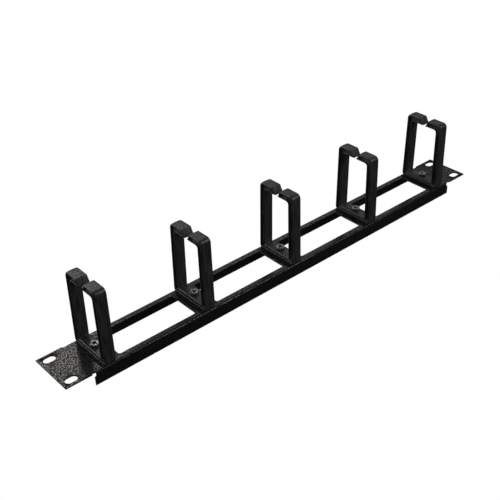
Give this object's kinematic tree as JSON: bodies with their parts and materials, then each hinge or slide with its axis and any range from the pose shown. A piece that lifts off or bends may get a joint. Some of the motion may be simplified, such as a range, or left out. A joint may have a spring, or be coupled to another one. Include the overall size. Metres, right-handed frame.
{
  "type": "horizontal cable manager",
  "caption": "Flanged rack panel, one unit high, with slotted ears, windows and a row of open moulded rings that guide cables along it.",
  "frame": {"origin": "centre of the panel's back face, the plane that lies on the rack's rails", "axes": "+X along the panel, +Y up the rack, +Z out of the panel's front towards the cables"},
  "size_m": [0.4826, 0.0444, 0.0819],
  "materials": {
    "panel_paint": "black powder coat, fine texture, semi-gloss",
    "ring_plastic": "black moulded plastic, satin",
    "fastener_steel": "black zinc plated steel"
  },
  "bodies": {
    "root": {"panel": "panel_paint", "cable_ring_1": "ring_plastic", "ring_screw_1": "fastener_steel", "nut_1": "fastener_steel", "cable_ring_2": "ring_plastic", "ring_screw_2": "fastener_steel", "nut_2": "fastener_steel", "cable_ring_3": "ring_plastic", "ring_screw_3": "fastener_steel", "nut_3": "fastener_steel", "cable_ring_4": "ring_plastic", "ring_screw_4": "fastener_steel", "nut_4": "fastener_steel", "cable_ring_5": "ring_plastic", "ring_screw_5": "fastener_steel", "nut_5": "fastener_steel"}
  },
  "joints": []
}
